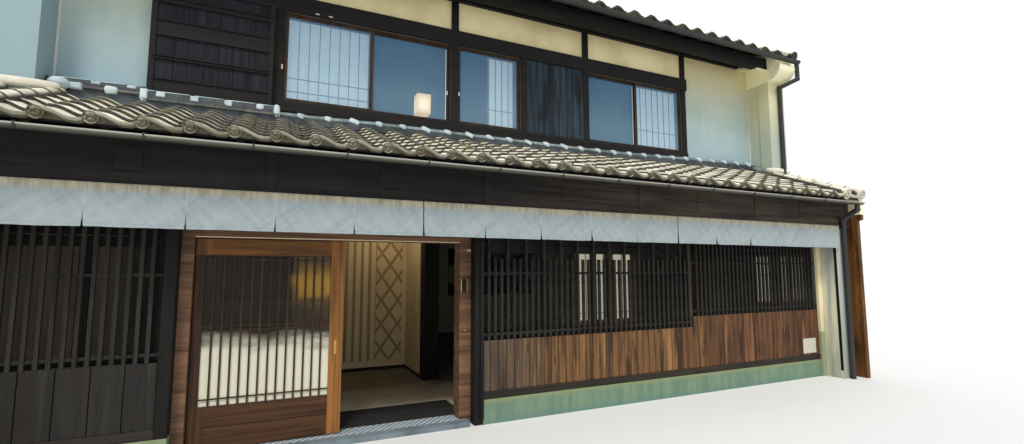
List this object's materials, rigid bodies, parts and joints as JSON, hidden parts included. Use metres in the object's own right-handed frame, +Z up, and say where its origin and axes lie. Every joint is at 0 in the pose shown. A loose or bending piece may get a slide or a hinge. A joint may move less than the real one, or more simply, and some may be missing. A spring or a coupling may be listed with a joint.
{
  "type": "machiya townhouse",
  "caption": "Two-storey Japanese timber townhouse in a row, with a tiled pent roof, white sleeve walls, a long lattice front, glazed sliding doors and a short shop curtain.",
  "frame": {"origin": "on the street level, at the middle of the whole outline seen from above", "axes": "+X along the street front to the right as seen from the street, +Y from the street into the house, +Z up"},
  "size_m": [10.8, 9.2, 7.5545],
  "materials": {
    "plaster": "white lime plaster, matt",
    "dark_timber": "dark stained and weathered timber",
    "brown_boards": "brown stained boards, weathered",
    "door_wood": "oiled reddish brown wood",
    "glass": "clear flat window glass",
    "screen_paper": "white screen paper on thin wood bars",
    "brass": "worn brass",
    "cloth": "pale woven cotton",
    "roof_tile": "weathered grey fired clay",
    "rainwater": "dark taupe paint",
    "plinth_stone": "pale green cast stone",
    "granite": "sawn granite with a metal track",
    "floor": "smooth beige trowelled floor",
    "inner_plaster": "smooth cream plaster",
    "lamp_shade": "lit paper shade",
    "mat": "ribbed black entrance mat"
  },
  "bodies": {
    "house": {"left_party_wall": "plaster", "right_party_wall": "plaster", "back_wall_lower": "plaster", "back_wall_upper": "plaster", "lower_sleeves": "plaster", "upper_sleeves": "plaster", "upper_wall": "plaster", "sleeve_corbels": "plaster", "back_windows": "dark_timber", "front_posts": "dark_timber", "front_beam": "dark_timber", "main_lattice": "dark_timber", "right_lattice": "dark_timber", "left_lattice": "dark_timber", "ground_windows": "dark_timber", "fascia_board": "dark_timber", "eave_purlin": "dark_timber", "cloth_rail": "dark_timber", "pent_boards": "dark_timber", "upper_frame": "dark_timber", "upper_sashes": "dark_timber", "shutter_box": "dark_timber", "board_panel": "dark_timber", "eave_frame": "dark_timber", "main_boards": "dark_timber", "inner_pillar": "dark_timber", "wainscot": "brown_boards", "upper_floor": "brown_boards", "end_cheeks": "brown_boards", "door_frame": "door_wood", "window_glass": "glass", "paper_screens": "screen_paper", "cloth_left": "cloth", "cloth_middle": "cloth", "cloth_right": "cloth", "pent_tiles": "roof_tile", "pent_end_ridges": "roof_tile", "wall_flashing": "roof_tile", "main_tiles": "roof_tile", "main_ridge": "roof_tile", "lower_rainwater": "rainwater", "upper_rainwater": "rainwater", "plinths": "plinth_stone", "door_sill": "granite", "ground_floor": "floor", "inner_partition": "inner_plaster", "room_lamp": "lamp_shade", "entrance_mat": "mat"},
    "door_front_leaf": {"front_leaf": "door_wood", "front_leaf_glass": "glass", "front_leaf_pull": "brass"},
    "door_rear_leaf": {"rear_leaf": "door_wood", "rear_leaf_glass": "glass", "rear_leaf_pull": "brass"}
  },
  "joints": [
    {"name": "front_leaf_slide", "type": "slide", "parent": "house", "child": "door_front_leaf", "axis": [1, 0, 0], "range_m": [0, 1.19]},
    {"name": "rear_leaf_slide", "type": "slide", "parent": "house", "child": "door_rear_leaf", "axis": [1, 0, 0], "range_m": [0, 1.19]}
  ]
}
